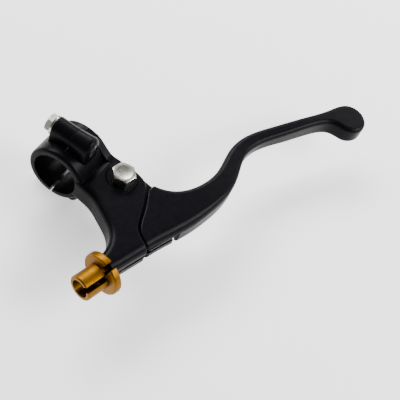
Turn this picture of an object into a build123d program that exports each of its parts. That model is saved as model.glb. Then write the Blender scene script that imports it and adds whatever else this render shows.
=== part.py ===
from build123d import *
from math import cos, radians, sin, tan
import os

os.makedirs("parts", exist_ok=True)

# Frame: X runs outboard along the handlebar, Y runs back towards the rider, Z runs up along the pivot.
# The origin is the centre of the handlebar bore. All sizes are in millimetres.

# Handlebar clamp
bar_radius = 11.1
ring_radius = 14.1
ring_inboard = 11.0
ring_outboard = 11.6
ring_edge = 1.6
top_gap = 0.3
low_gap = 1.2

# Clamp lugs and their bolts
clamp_bolt_height = 16.6
clamp_bolt_radius = 2.5
clamp_bolt_pitch = 0.8
clamp_bolt_recess = 0.3
hole_bevel = 0.5
clamp_head_across_flats = 8.0
clamp_head_height = 2.9
clamp_washer_radius = 4.8
clamp_washer_thickness = 0.9
cap_lug_radius = 5.0
perch_lug_radius = 5.8
perch_lug_edge = 2.6
seat_y = 10.0
lug_face_y = -10.3

# Perch arm
plate_half = 6.4
neck_half = 5.0
step_y = -14.1
step_bevel = 0.9
step_run = 2.3
arm_right = 11.6
web_inner = 7.2
fork_half = 3.7
front_edge = 4.0
low_front_edge = 2.6
gap_edge = 0.8
fork_radius = 8.9

# Lever pivot
pivot_x = 4.4
pivot_y = -25.4
pivot_radius = 3.0
pivot_head_across_flats = 10.0
pivot_head_height = 5.0
pivot_head_turn = 43.5
spot_radius = 7.0
spot_rim_radius = 8.0
spot_depth = 0.8
bushing_radius = 4.5
pivot_washer_radius = 6.0
pivot_washer_thickness = 1.0
nut_height = 4.4
nut_ring_height = 1.6
bolt_tip_length = 2.0
pivot_pitch = 1.0

# Lever
hub_half = 3.4
hub_radius = 8.2
ball_x = 117.4
ball_y = -94.3
ball_radius = 8.8
lever_edge = 2.2
pocket_x = -0.2
pocket_y = -55.2
pocket_radius = 4.05
pocket_top = 2.2
cable_slot = 2.2

# Cable adjuster, on a line that passes through the lever's cable-end pocket
adjuster_angle = -15.2
barrel_start = -52.1
barrel_radius = 6.05
barrel_length = 10.9
barrel_slot = 2.8
thread_radius = 3.5
thread_hole_radius = 3.57
thread_end = -19.5
thread_pitch = 1.0
socket_radius = 4.3
socket_depth = 8.0
cable_bore_radius = 1.6
wheel_radius = 10.1
wheel_start = -41.1
wheel_length = 4.0
wheel_edge = 1.1
wheel_slot = 3.4
boss_start = -37.0
boss_front = 3.4
boss_back = 5.8
boss_slot = 2.2
slot_turn = 47.6
wheel_slot_turn = 76.0

axis_x = cos(radians(adjuster_angle))
axis_y = sin(radians(adjuster_angle))


def along(distance, sideways=0.0):
    """Point on the cable line, moved sideways towards the rider."""
    return (pocket_x + distance * axis_x - sideways * axis_y,
            pocket_y + distance * axis_y + sideways * axis_x)


def cable_rod(radius, start, end):
    """Round bar that lies on the cable line between two distances from the pocket."""
    x, y = along(start)
    plane = Plane(origin=(x, y, 0), x_dir=(0, 0, 1), z_dir=(axis_x, axis_y, 0))
    return extrude(plane * Circle(radius), amount=end - start)


def cable_slot_box(start, end, width, back, front):
    """Flat box on the cable line that opens towards the front."""
    x, y = along((start + end) / 2, (back - front) / 2)
    box = Box(end - start, back + front, width)
    return Pos(x, y, 0) * Rot(0, 0, adjuster_angle) * box


def front_plane(y):
    """Plane across the clamp bolts, X to the right and Z up, facing forward."""
    return Plane(origin=(0, y, 0), x_dir=(1, 0, 0), z_dir=(0, -1, 0))


def lug_outline(y, radius, side):
    """Arch round a clamp bolt, standing on the bar's centre plane."""
    height = clamp_bolt_height * side
    left = Line((-radius, 0), (-radius, height))
    arch = ThreePointArc((-radius, height), (0, height + radius * side), (radius, height))
    right = Line((radius, height), (radius, 0))
    foot = Line((radius, 0), (-radius, 0))
    return front_plane(y) * make_face([left, arch, right, foot])


def full_ring():
    length = ring_inboard + ring_outboard
    middle = (ring_outboard - ring_inboard) / 2
    ring = Pos(middle, 0, 0) * Cylinder(ring_radius, length, rotation=(0, 90, 0))
    ends = ring.edges().filter_by(GeomType.CIRCLE).sort_by(Axis.X)
    ring = fillet(ends[0], ring_edge)
    return fillet(ring.edges().filter_by(GeomType.CIRCLE).sort_by(Axis.X)[-1], ring_edge / 2)


def bore():
    """The handlebar's hole, longer than the clamp."""
    return Cylinder(bar_radius, 80, rotation=(0, 90, 0))


def bolt_holes(radius, start_y, end_y):
    """Two holes along Y, one above the bar and one below."""
    holes = Part()
    for side in (1, -1):
        circle = Pos(0, clamp_bolt_height * side) * Circle(radius)
        holes += extrude(front_plane(start_y) * circle, amount=start_y - end_y)
    return holes


def jaw_space(face):
    """Everything on the far side of the parting faces; face is -1 for the perch, +1 for the cap."""
    upper = Pos(0, -face * (50 - top_gap / 2), 50) * Box(120, 100, 100)
    lower = Pos(0, -face * (50 - low_gap / 2), -50) * Box(120, 100, 100)
    return upper + lower


def clamp_cap():
    cap = full_ring()
    for side in (1, -1):
        cap += extrude(lug_outline(seat_y, cap_lug_radius, side), amount=seat_y)
    seat_edges = cap.edges().filter_by_position(Axis.Y, seat_y - 0.01, seat_y + 0.01)
    cap = fillet(seat_edges, 0.5)
    cap -= bore()
    cap -= jaw_space(1)
    cap -= bolt_holes(clamp_bolt_radius + 0.2, seat_y + 5, -1)
    return cap


# Points along the parting line between the perch and the lever, seen from above
gap_points = [(6.6, -37.1), (-2.3, -41.2), (-9.2, -43.6), (-13.0, -45.5), (-15.3, -47.8), (-17.2, -51.2)]
gap_front = (-18.9, -54.7)
gap_shift = (0.4, -0.85)


def perch_outline():
    """Outline of the perch arm seen from above."""
    front_x, front_y = along(boss_start, -boss_front)
    back_x, back_y = along(boss_start, boss_back)
    rear = Line((-10.0, -6.0), (arm_right, -6.0))
    right = Line((arm_right, -6.0), (arm_right, -24.0))
    corner = Spline((arm_right, -24.0), (10.9, -30.5), (9.6, -34.2), gap_points[0],
                    tangents=[(0, -1), (-1, -0.7)])
    gap = Spline(*gap_points, gap_front, tangents=[(-1, -0.45), (-0.4, -1)])
    front = Line(gap_front, (front_x, front_y))
    end = Line((front_x, front_y), (back_x, back_y))
    left = Spline((back_x, back_y), (-28.9, -39.7), (-24.0, -37.8), (-20.9, -35.0), (-17.8, -30.2),
                  (-15.4, -25.8), (-13.4, -21.6), (-12.1, -15.6), (-10.0, -6.0))
    return make_face([rear, right, corner, gap, front, end, left])


def rim_edges(solid, place):
    """Long top and bottom edges of the arm whose middle passes the given test."""
    rim = solid.edges().filter_by(lambda e: abs(e.center().Z) > plate_half - 0.1 and e.length > 8)
    return rim.filter_by(lambda e: place(e.center()))


def perch_arm():
    arm = extrude(perch_outline(), amount=plate_half, both=True)
    arm = fillet(rim_edges(arm, lambda p: p.X < -12 and p.Y > -36), 3.0)
    arm = fillet(rim_edges(arm, lambda p: p.Y < -51 and p.Z > 0), front_edge)
    arm = fillet(rim_edges(arm, lambda p: p.Y < -51 and p.Z < 0), low_front_edge)
    return fillet(rim_edges(arm, lambda p: p.X > -12 and -50 < p.Y < -10), gap_edge)


def fork_space():
    """Room between the fork plates for the lever's hub and its swing."""
    disc = Pos(pivot_x, pivot_y) * Circle(fork_radius)
    swing = make_face(Polyline((pivot_x - fork_radius, pivot_y), (-11.6, -44.4), (-12.0, -60.0),
                               (40.0, -60.0), (40.0, pivot_y), close=True))
    return extrude(disc + swing, amount=fork_half, both=True)


def spot_face(side):
    """Shallow round recess with a bevelled rim for the pivot bolt's head or washer."""
    floor = (plate_half - spot_depth) * side
    plane = Plane(origin=(pivot_x, pivot_y, floor), x_dir=(1, 0, 0), z_dir=(0, 0, side))
    top_plane = plane.offset(spot_depth)
    recess = extrude(plane * Circle(spot_radius), amount=3)
    rim = loft([plane * Circle(spot_radius), top_plane * Circle(spot_rim_radius)])
    return recess + rim


def wrench_pocket(side):
    """Lower strip between the clamp lug and the gentle slope at the back of the fork plate."""
    reach = 20.0
    outline = Polyline((0, neck_half), (step_y, neck_half), (step_y, plate_half - step_bevel),
                       (step_y - 2 * step_run, plate_half + step_bevel), (0, plate_half + step_bevel),
                       close=True)
    plane = Plane(origin=(-reach, 0, 0), x_dir=(0, 1, 0), z_dir=(1, 0, 0))
    pocket = extrude(plane * make_face(outline), amount=reach + web_inner)
    return pocket if side > 0 else mirror(pocket, Plane.XY)


def side_web(side):
    """Wall at the outboard end that joins the clamp ring to the fork plate."""
    plane = Plane(origin=(web_inner, 0, 0), x_dir=(0, 1, 0), z_dir=(1, 0, 0))
    top = Spline((-2.5, 13.9), (-7.0, 12.7), (-10.6, 9.9), (-13.2, 7.8), (-17.0, 6.4),
                 tangents=[(-1, -0.1), (-1, -0.1)])
    outline = make_face([Line((-2.5, 0), (-2.5, 13.9)), top, Line((-17.0, 6.4), (-17.0, 0)),
                         Line((-17.0, 0), (-2.5, 0))])
    web = extrude(plane * outline, amount=arm_right - web_inner)
    outer = web.edges().filter_by(lambda e: e.center().X > arm_right - 0.1 and e.center().Z > 8)
    web = fillet(outer, 1.0)
    return web if side > 0 else mirror(web, Plane.XY)


def perch_body():
    perch = perch_arm()
    for side in (1, -1):
        perch -= wrench_pocket(side)
    perch += full_ring() - Pos(0, 50, 0) * Box(120, 100, 100)
    for side in (1, -1):
        foot = lug_outline(0, cap_lug_radius, side)
        lug = loft([foot, lug_outline(lug_face_y, perch_lug_radius, side)])
        lug_edges = lug.edges().filter_by_position(Axis.Y, lug_face_y - 0.01, lug_face_y + 0.01)
        lug = fillet(lug_edges.filter_by(lambda e: abs(e.center().Z) > 4), perch_lug_edge)
        perch += lug + side_web(side)
    perch -= bore()
    perch -= jaw_space(-1)
    perch -= bolt_holes(clamp_bolt_radius + 0.03, 1, lug_face_y - 5)
    for side in (1, -1):
        mouth = Cone(clamp_bolt_radius, clamp_bolt_radius + 2 * hole_bevel, 2 * hole_bevel)
        perch -= front_plane(lug_face_y) * Pos(0, clamp_bolt_height * side) * mouth
    perch -= fork_space()
    for side in (1, -1):
        perch -= spot_face(side)
    perch -= Pos(pivot_x, pivot_y, 0) * Cylinder(pivot_radius + 0.05, 40)
    perch -= cable_rod(thread_hole_radius, boss_start - 3, -12)
    perch -= cable_slot_box(boss_start - 3, -12, boss_slot, 0, 12)
    return perch


# Points along the lever's front edge by the hub, from the nose outwards
front_points = [(-5.6, -58.9), (4.9, -62.9), (16.9, -66.1), (32.0, -68.0)]


def lever_outline():
    """Outline of the lever seen from above, from the nose round the ball and back to the gap."""
    gap = [(x + gap_shift[0], y + gap_shift[1]) for x, y in gap_points]
    nose = (gap_front[0] + 2.4, gap_front[1] - 0.4)
    shoulder = (11.6, -38.7)
    neck_angle = radians(52)
    ball_left = (ball_x - ball_radius, ball_y)
    ball_front = (ball_x, ball_y - ball_radius)
    ball_rear = (ball_x + ball_radius * cos(neck_angle), ball_y + ball_radius * sin(neck_angle))
    gap_line = Spline(*gap, nose, tangents=[(-1, -0.45), (0.1, -1)])
    front = Spline(nose, *front_points, (46.0, -66.0), (57.5, -63.3), (67.0, -64.5), (84.0, -73.0),
                   (98.5, -81.1), (106.2, -86.8), ball_left, tangents=[(1, -0.32), (0, -1)])
    ball = ThreePointArc(ball_left, ball_front, ball_rear)
    rear = Spline(ball_rear, (114.0, -82.7), (100.0, -74.7), (84.0, -65.2), (69.0, -57.3),
                  (57.0, -55.2), (40.0, -57.0), (24.0, -53.5), (14.7, -46.2), (12.5, -42.0), shoulder,
                  tangents=[(-sin(neck_angle), cos(neck_angle)), (-0.2, 1)])
    return make_face([gap_line, front, ball, rear, Line(shoulder, gap[0])])


def lever_side():
    """The lever's thickness along its length, seen from the front."""
    upper = [(-30, 6.0), (-5, 6.0), (20, 5.95), (42, 5.1), (60, 4.3), (72, 4.3), (86, 4.8), (101, 5.1),
             (118, 5.1), (140, 5.1)]
    lower = [(x, -z) for x, z in reversed(upper)]
    edges = [
        Line(lower[-1], upper[0]),
        Spline(*upper, tangents=[(1, 0), (1, 0)]),
        Line(upper[-1], lower[0]),
        Spline(*lower, tangents=[(-1, 0), (-1, 0)]),
    ]
    return extrude(front_plane(-20) * make_face(edges), amount=100)


def rim_section(point, height, radius, direction):
    """The corner outside a rounding of the front rim, across the rim at one point."""
    plane = Plane(origin=(*point, height), x_dir=(-direction[1], direction[0], 0), z_dir=(*direction, 0))
    mid = radius * (1 - cos(radians(45)))
    edges = [
        Line((radius, 0), (radius, 1)),
        Line((radius, 1), (-1, 1)),
        Line((-1, 1), (-1, -radius)),
        Line((-1, -radius), (0, -radius)),
        ThreePointArc((0, -radius), (mid, -mid), (radius, 0)),
    ]
    return plane * make_face(edges)


def front_rim_cut():
    """Wide rounding of the upper front rim by the hub, which fades into the blade's own rounding."""
    start = (-24.0, -53.0)
    path = [start, *front_points]
    heights = [6.0, 6.0, 6.0, 5.95, 5.55]
    widths = [front_edge, front_edge, front_edge, 3.3, 1.9]
    directions = [(1, -0.3), (1, -0.35), (1, -0.33), (1, -0.2), (1, 0.05)]
    return loft([rim_section(*section) for section in zip(path, heights, widths, directions)])


def lever_blade():
    blade = extrude(lever_outline(), amount=8, both=True) & lever_side()
    rim = blade.edges().filter_by(lambda e: abs(e.center().Z) > 3.5)
    soft_rim = rim.filter_by(lambda e: e.length > 100 or e.center().X > 100)
    blade = fillet(soft_rim, lever_edge)
    gap_rim = blade.edges().filter_by(lambda e: abs(e.center().Z) > 5.9 and e.center().X < 13)
    blade = fillet(gap_rim.filter_by(lambda e: e.length > 2), gap_edge)
    return blade - front_rim_cut()


def lever_hub():
    neck = make_face(Polyline((pivot_x - hub_radius, pivot_y), (-9.0, -46.5), (10.4, -42.5),
                              (pivot_x + hub_radius, pivot_y), close=True))
    return extrude(Pos(pivot_x, pivot_y) * Circle(hub_radius) + neck, amount=hub_half, both=True)


def lever():
    body = lever_blade() + lever_hub()
    body -= Pos(pivot_x, pivot_y, 0) * Cylinder(bushing_radius + 0.02, 40)
    body -= cable_slot_box(-30, 0, cable_slot, 1.6, 12)
    pocket_height = pocket_top + 10
    body -= Pos(pocket_x, pocket_y, pocket_top - pocket_height / 2) * Cylinder(pocket_radius, pocket_height)
    mouth = Box(3.2, 12, pocket_height)
    x, y = along(0, -6)
    body -= Pos(x, y, pocket_top - pocket_height / 2) * Rot(0, 0, adjuster_angle) * mouth
    return body


def hexagon(across_flats):
    return RegularPolygon(radius=across_flats / 2, side_count=6, major_radius=False)


def hex_head(across_flats, height):
    """Hexagon with its outer corners turned down, standing on the XY plane."""
    head = extrude(hexagon(across_flats), amount=height)
    cap_radius = across_flats / 2 * 0.96
    skirt = across_flats * 0.66
    drop = (skirt - cap_radius) * tan(radians(30))
    cone = Cone(skirt, cap_radius, drop, align=(Align.CENTER, Align.CENTER, Align.MAX))
    collar = Cylinder(skirt, height, align=(Align.CENTER, Align.CENTER, Align.MAX))
    return head & (Pos(0, 0, height) * cone + Pos(0, 0, height - drop) * collar)


def dished_head(across_flats, height):
    """Hexagon head with a shallow round hollow in its top."""
    reach = across_flats * 0.38
    depth = across_flats * 0.035
    curve = (reach ** 2 + depth ** 2) / (2 * depth)
    return hex_head(across_flats, height) - Pos(0, 0, height - depth + curve) * Sphere(curve)


def threaded_rod(radius, length, pitch, thread_length):
    """Rod that points along local -Z, with thread grooves cut round its far end."""
    depth = 0.55 * pitch
    points = [(0, 0), (radius, 0)]
    groove_count = int(thread_length / pitch)
    for index in range(groove_count):
        top = length - (groove_count - index) * pitch
        points += [(radius, -top), (radius - depth, -top - 0.45 * pitch), (radius, -top - 0.9 * pitch)]
    points += [(radius - depth, -length), (0, -length)]
    outline = make_face(Plane.XZ * Polyline(*points, close=True))
    return revolve(outline, Axis.Z)


def clamp_bolt():
    """Bolt that points along local -Z with its head's underside on the local XY plane."""
    bolt = dished_head(clamp_head_across_flats, clamp_head_height)
    length = seat_y + clamp_washer_thickness - lug_face_y - clamp_bolt_recess
    return bolt + threaded_rod(clamp_bolt_radius, length, clamp_bolt_pitch, 9.0)


def clamp_bolts():
    bolts = []
    for side in (1, -1):
        plane = Plane(origin=(0, seat_y + clamp_washer_thickness, clamp_bolt_height * side),
                      x_dir=(1, 0, 0), z_dir=(0, 1, 0))
        bolts.append(plane * clamp_bolt())
    return Compound(children=bolts)


def clamp_washers():
    washers = []
    for side in (1, -1):
        plane = Plane(origin=(0, seat_y, clamp_bolt_height * side), x_dir=(1, 0, 0), z_dir=(0, 1, 0))
        ring = Circle(clamp_washer_radius) - Circle(clamp_bolt_radius + 0.15)
        washers.append(plane * extrude(ring, amount=clamp_washer_thickness))
    return Compound(children=washers)


head_seat = plate_half - spot_depth
washer_face = -head_seat - pivot_washer_thickness
nut_face = washer_face - nut_height - nut_ring_height


def pivot_bolt():
    head = Rot(0, 0, pivot_head_turn) * dished_head(pivot_head_across_flats, pivot_head_height)
    length = head_seat - nut_face + bolt_tip_length
    shank = threaded_rod(pivot_radius, length, pivot_pitch, nut_height + nut_ring_height + bolt_tip_length)
    return Pos(pivot_x, pivot_y, head_seat) * (head + shank)


def pivot_washer():
    ring = Circle(pivot_washer_radius) - Circle(pivot_radius + 0.2)
    return Pos(pivot_x, pivot_y, washer_face) * extrude(ring, amount=pivot_washer_thickness)


def pivot_nut():
    nut = hex_head(pivot_head_across_flats, nut_height)
    collar = Cylinder(4.5, nut_ring_height, align=(Align.CENTER, Align.CENTER, Align.MIN))
    collar = chamfer(collar.edges().sort_by(Axis.Z)[-1], 0.4)
    nut += Pos(0, 0, nut_height) * collar
    nut -= Cylinder(pivot_radius + 0.03, 40)
    nut -= Pos(0, 0, nut_height) * Cylinder(3.9, 5, align=(Align.CENTER, Align.CENTER, Align.MIN))
    return Pos(pivot_x, pivot_y, washer_face) * Rot(180, 0, 0) * nut


def nut_lock_ring():
    ring = Circle(3.88) - Circle(pivot_radius + 0.03)
    ring = extrude(ring, amount=nut_ring_height - 0.1)
    return Pos(pivot_x, pivot_y, washer_face - nut_height) * Rot(180, 0, 0) * ring


def lever_bushing():
    ring = Circle(bushing_radius) - Circle(pivot_radius + 0.06)
    return Pos(pivot_x, pivot_y, 0) * extrude(ring, amount=hub_half + 0.1, both=True)


def slot_cutter(start, end, width, turn):
    """Slot along the cable line, from the axis outwards, turned up from the front by an angle."""
    x, y = along((start + end) / 2)
    box = Pos(0, -10, 0) * Box(end - start, 20, width)
    return Pos(x, y, 0) * Rot(0, 0, adjuster_angle) * Rot(-turn, 0, 0) * box


def adjuster_barrel():
    barrel_end = barrel_start + barrel_length
    barrel = cable_rod(barrel_radius, barrel_start, barrel_end)
    barrel = chamfer(barrel.edges().filter_by(GeomType.CIRCLE), 0.5)
    x, y = along(barrel_end)
    stem_plane = Plane(origin=(x, y, 0), x_dir=(0, 0, 1), z_dir=(-axis_x, -axis_y, 0))
    stem_length = thread_end - barrel_end
    barrel += stem_plane * threaded_rod(thread_radius, stem_length, thread_pitch, stem_length - 1)
    barrel -= cable_rod(socket_radius, barrel_start - 1, barrel_start + socket_depth)
    barrel -= cable_rod(cable_bore_radius, barrel_start - 1, thread_end + 1)
    barrel -= slot_cutter(barrel_start - 1, thread_end + 1, barrel_slot, slot_turn)
    return barrel


def adjuster_lock_wheel():
    wheel = cable_rod(wheel_radius, wheel_start, wheel_start + wheel_length)
    wheel = fillet(wheel.edges().filter_by(GeomType.CIRCLE), wheel_edge)
    wheel -= cable_rod(thread_hole_radius, wheel_start - 1, wheel_start + wheel_length + 1)
    wheel -= slot_cutter(wheel_start - 1, wheel_start + wheel_length + 1, wheel_slot, wheel_slot_turn)
    return wheel


nodes = {
    "perch_body": perch_body,
    "clamp_cap": clamp_cap,
    "clamp_bolts": clamp_bolts,
    "clamp_washers": clamp_washers,
    "pivot_bolt": pivot_bolt,
    "pivot_washer": pivot_washer,
    "pivot_nut": pivot_nut,
    "nut_lock_ring": nut_lock_ring,
    "lever": lever,
    "lever_bushing": lever_bushing,
    "adjuster_barrel": adjuster_barrel,
    "adjuster_lock_wheel": adjuster_lock_wheel,
}

for name, build in nodes.items():
    export_step(build(), f"parts/{name}.step")
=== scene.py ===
from math import pi, radians

import bpy
from mathutils import Euler, Matrix, Vector


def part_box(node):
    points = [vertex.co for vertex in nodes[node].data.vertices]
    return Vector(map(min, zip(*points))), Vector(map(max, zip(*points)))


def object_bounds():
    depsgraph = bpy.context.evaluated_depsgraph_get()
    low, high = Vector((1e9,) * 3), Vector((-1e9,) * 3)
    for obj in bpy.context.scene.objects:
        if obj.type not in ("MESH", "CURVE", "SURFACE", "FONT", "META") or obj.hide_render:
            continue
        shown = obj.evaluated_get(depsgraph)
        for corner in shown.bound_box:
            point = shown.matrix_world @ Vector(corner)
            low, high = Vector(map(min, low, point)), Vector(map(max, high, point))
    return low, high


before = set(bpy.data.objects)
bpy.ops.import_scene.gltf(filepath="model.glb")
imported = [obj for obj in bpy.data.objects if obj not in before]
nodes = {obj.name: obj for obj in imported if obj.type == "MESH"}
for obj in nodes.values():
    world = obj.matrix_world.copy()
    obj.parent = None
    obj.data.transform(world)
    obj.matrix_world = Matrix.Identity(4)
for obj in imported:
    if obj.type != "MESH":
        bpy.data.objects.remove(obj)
cad_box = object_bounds()

# Looks, with lengths in metres
wear_radius = 0.0006
texture_depth = 0.00004
casting_depth = 0.00003
barrel_mark_pitch = 0.0002
barrel_mark_depth = 0.000004
bolt_mark_pitch = 0.00025
bolt_mark_depth = 0.000003

# Camera, in metres, millimetres and degrees
camera_place = (-0.2250, -0.0964, 0.3322)
camera_heading = -81.29
camera_tilt = 37.04
camera_roll = 27.08
camera_lens = 81

# Stage, in metres
floor_reach = 3.0
light_target = (0.045, -0.045, 0.0)


# Material tools

def middle_of(name):
    """Centre of a CAD node's box at rest."""
    low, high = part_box(name)
    return [(low[axis] + high[axis]) / 2 for axis in range(3)]


def new_material(name):
    """Empty material with its shader; returns the material, its node tree and the shader."""
    material = bpy.data.materials.new(name)
    material.use_nodes = True
    tree = material.node_tree
    shader = tree.nodes["Principled BSDF"]
    return material, tree, shader


def node(tree, kind, **inputs):
    """Adds a shader node and sets its inputs by name, with _ for a space."""
    new = tree.nodes.new(kind)
    for key, value in inputs.items():
        new.inputs[key.replace("_", " ")].default_value = value
    return new


def object_point(tree):
    """Position on the part in metres, at rest."""
    return tree.nodes.new("ShaderNodeTexCoord").outputs["Object"]


def noise(tree, scale, detail):
    """Noise from 0 to 1 over the part, with about one patch per 1 / scale metres."""
    texture = node(tree, "ShaderNodeTexNoise", Scale=scale, Detail=detail, Roughness=0.5)
    tree.links.new(object_point(tree), texture.inputs["Vector"])
    return texture.outputs["Fac"]


def spread(tree, value, low, high, new_low, new_high):
    """Maps a value from one range to another."""
    ramp = node(tree, "ShaderNodeMapRange", From_Min=low, From_Max=high, To_Min=new_low, To_Max=new_high)
    tree.links.new(value, ramp.inputs["Value"])
    return ramp.outputs["Result"]


def patches(tree, scale, detail, low, high):
    """Soft patches whose value runs from low to high."""
    return spread(tree, noise(tree, scale, detail), 0.3, 0.7, low, high)


def blend_colours(tree, amount, first, second):
    """Colour between two colours, each a tuple or a socket, by an amount from 0 to 1."""
    mix = tree.nodes.new("ShaderNodeMix")
    mix.data_type = "RGBA"
    for name, colour in (("A", first), ("B", second)):
        socket = [one for one in mix.inputs if one.name == name and one.type == "RGBA"][0]
        if isinstance(colour, tuple):
            socket.default_value = (*colour, 1)
        else:
            tree.links.new(colour, socket)
    tree.links.new(amount, mix.inputs["Factor"])
    return [one for one in mix.outputs if one.type == "RGBA"][0]


def multiply(tree, first, second):
    """Product of two sockets."""
    product = tree.nodes.new("ShaderNodeMath")
    product.operation = "MULTIPLY"
    tree.links.new(first, product.inputs[0])
    tree.links.new(second, product.inputs[1])
    return product.outputs["Value"]


def edge_wear(tree):
    """1 on rubbed outer edges, broken up by noise, and 0 elsewhere."""
    bevel = node(tree, "ShaderNodeBevel", Radius=wear_radius)
    bevel.samples = 6
    geometry = tree.nodes.new("ShaderNodeNewGeometry")
    dot = tree.nodes.new("ShaderNodeVectorMath")
    dot.operation = "DOT_PRODUCT"
    tree.links.new(bevel.outputs["Normal"], dot.inputs[0])
    tree.links.new(geometry.outputs["Normal"], dot.inputs[1])
    edge = spread(tree, dot.outputs["Value"], 0.97, 0.85, 0, 1)
    return multiply(tree, edge, spread(tree, noise(tree, 700, 4), 0.45, 0.62, 0, 1))


def turned_marks(tree, centre, pitch):
    """Fine rings, a pitch apart, left by a lathe tool round the given point."""
    mapping = tree.nodes.new("ShaderNodeMapping")
    mapping.inputs["Location"].default_value = [-value for value in centre]
    tree.links.new(object_point(tree), mapping.inputs["Vector"])
    ring_gap_at_scale_1 = pi / 10
    wave = node(tree, "ShaderNodeTexWave", Scale=ring_gap_at_scale_1 / pitch, Distortion=1.5, Detail=2.0,
                Detail_Scale=0.4)
    wave.wave_type = "RINGS"
    wave.rings_direction = "SPHERICAL"
    tree.links.new(mapping.outputs["Vector"], wave.inputs["Vector"])
    return wave.outputs["Fac"]


def bump(tree, shader, height, depth, strength):
    """Surface relief of the given depth in metres."""
    relief = node(tree, "ShaderNodeBump", Strength=strength, Distance=depth)
    tree.links.new(height, relief.inputs["Height"])
    tree.links.new(relief.outputs["Normal"], shader.inputs["Normal"])


def metal(name, dark, light, colour_patch, rough_patch, roughness):
    """Bare metal that varies between two colours and two roughnesses, in patches of the given scales."""
    material, tree, shader = new_material(name)
    shader.inputs["Metallic"].default_value = 1.0
    colour = blend_colours(tree, patches(tree, *colour_patch, 0, 1), dark, light)
    tree.links.new(colour, shader.inputs["Base Color"])
    tree.links.new(patches(tree, *rough_patch, *roughness), shader.inputs["Roughness"])
    return material, tree, shader


# Materials

def black_coating():
    """Satin black coating on cast aluminium: fine orange peel, uneven gloss and rubbed edges."""
    material, tree, shader = new_material("black_coating")
    shade = patches(tree, 260, 4, 0, 1)
    coat = blend_colours(tree, shade, (0.0024, 0.0023, 0.0036), (0.0036, 0.0035, 0.0052))
    colour = blend_colours(tree, edge_wear(tree), coat, (0.020, 0.019, 0.021))
    tree.links.new(colour, shader.inputs["Base Color"])
    shader.inputs["Specular IOR Level"].default_value = 0.06
    gloss = spread(tree, noise(tree, 900, 5), 0.25, 0.75, 0.30, 0.42)
    tree.links.new(gloss, shader.inputs["Roughness"])
    bump(tree, shader, noise(tree, 2600, 3), texture_depth, 0.5)
    return material


def gold_anodise():
    """Gold anodised aluminium with fine turned rings."""
    material, tree, shader = metal("gold_anodise", (0.17, 0.072, 0.002), (0.22, 0.094, 0.003),
                                   (500, 3), (1500, 3), (0.42, 0.54))
    rings = turned_marks(tree, middle_of("adjuster_barrel"), barrel_mark_pitch)
    bump(tree, shader, rings, barrel_mark_depth, 0.5)
    return material


def zinc_steel():
    """Zinc-plated steel with faint turned rings on the bolt head."""
    material, tree, shader = metal("zinc_steel", (0.48, 0.46, 0.41), (0.58, 0.56, 0.51),
                                   (400, 4), (900, 3), (0.26, 0.33))
    rings = turned_marks(tree, middle_of("pivot_bolt"), bolt_mark_pitch)
    bump(tree, shader, rings, bolt_mark_depth, 0.3)
    return material


def bronze():
    """Sintered bronze with a fine open grain."""
    material, tree, shader = metal("bronze", (0.40, 0.23, 0.10), (0.55, 0.34, 0.15),
                                   (1500, 4), (1200, 3), (0.32, 0.48))
    bump(tree, shader, noise(tree, 4000, 3), casting_depth, 0.6)
    return material


def nylon():
    """Off-white moulded nylon."""
    material, tree, shader = new_material("nylon")
    colour = blend_colours(tree, patches(tree, 900, 3, 0, 1), (0.55, 0.55, 0.50), (0.66, 0.66, 0.61))
    tree.links.new(colour, shader.inputs["Base Color"])
    tree.links.new(patches(tree, 1200, 3, 0.42, 0.58), shader.inputs["Roughness"])
    bump(tree, shader, noise(tree, 3000, 3), casting_depth, 0.4)
    return material


def paint(name, material):
    """Gives every material slot of a CAD node one material."""
    mesh = nodes[name].data
    if not mesh.materials:
        mesh.materials.append(material)
    for index in range(len(mesh.materials)):
        mesh.materials[index] = material


finishes = [
    (black_coating(), ["perch_body", "clamp_cap", "lever"]),
    (gold_anodise(), ["adjuster_barrel", "adjuster_lock_wheel"]),
    (zinc_steel(), ["clamp_bolts", "clamp_washers", "pivot_bolt", "pivot_washer", "pivot_nut"]),
    (bronze(), ["lever_bushing"]),
    (nylon(), ["nut_lock_ring"]),
]
for finish, names in finishes:
    for name in names:
        paint(name, finish)


# Stage

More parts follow.
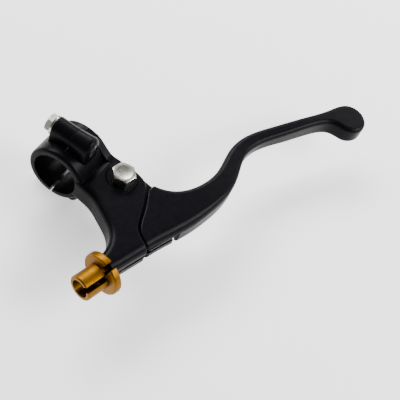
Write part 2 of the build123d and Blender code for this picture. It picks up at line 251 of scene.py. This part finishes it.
def floor_material():
    """Plain pale floor that glows a little, so that it looks nearly white."""
    material, _, shader = new_material("pale_floor")
    shader.inputs["Base Color"].default_value = (0.93, 0.93, 0.93, 1)
    shader.inputs["Roughness"].default_value = 0.9
    shader.inputs["Specular IOR Level"].default_value = 0.1
    shader.inputs["Emission Color"].default_value = (1, 1, 1, 1)
    shader.inputs["Emission Strength"].default_value = 0.9
    return material


def add_floor(height):
    mesh = bpy.data.meshes.new("floor")
    corners = [(x * floor_reach, y * floor_reach, height) for x, y in ((-1, -1), (1, -1), (1, 1), (-1, 1))]
    mesh.from_pydata(corners, [], [(0, 1, 2, 3)])
    mesh.materials.append(floor_material())
    floor = bpy.data.objects.new("floor", mesh)
    bpy.context.scene.collection.objects.link(floor)


def add_softbox(name, place, width, height, power):
    """Rectangular light at a place, turned to the part, in metres and watts."""
    light = bpy.data.lights.new(name, "AREA")
    light.shape = "RECTANGLE"
    light.size = width
    light.size_y = height
    light.energy = power
    softbox = bpy.data.objects.new(name, light)
    direction = Vector(light_target) - Vector(place)
    softbox.location = place
    softbox.rotation_euler = direction.to_track_quat("-Z", "Y").to_euler()
    bpy.context.scene.collection.objects.link(softbox)


def set_world(strength):
    """Even white light from all round."""
    world = bpy.data.worlds.new("studio")
    world.use_nodes = True
    background = world.node_tree.nodes["Background"]
    background.inputs["Color"].default_value = (1, 1, 1, 1)
    background.inputs["Strength"].default_value = strength
    bpy.context.scene.world = world


def add_camera():
    """Camera above the clamp's inboard end, looking outboard and down, and rolled."""
    data = bpy.data.cameras.new("camera")
    data.sensor_width = 36
    data.lens = camera_lens
    data.clip_start = 0.01
    camera = bpy.data.objects.new("camera", data)
    aim = Euler((radians(camera_tilt), 0, radians(camera_heading))).to_matrix().to_4x4()
    roll = Matrix.Rotation(radians(camera_roll), 4, "Z")
    camera.matrix_world = Matrix.Translation(camera_place) @ aim @ roll
    bpy.context.scene.collection.objects.link(camera)
    bpy.context.scene.camera = camera


add_floor(cad_box[0][2])
set_world(0.10)
add_softbox("rear_softbox", place=(0.42, 0.62, 0.60), width=1.1, height=0.3, power=19)
add_softbox("front_softbox", place=(0.35, -0.75, 0.60), width=0.7, height=0.4, power=14)
add_softbox("side_softbox", place=(0.95, -0.12, 0.50), width=0.5, height=0.16, power=3)
add_camera()
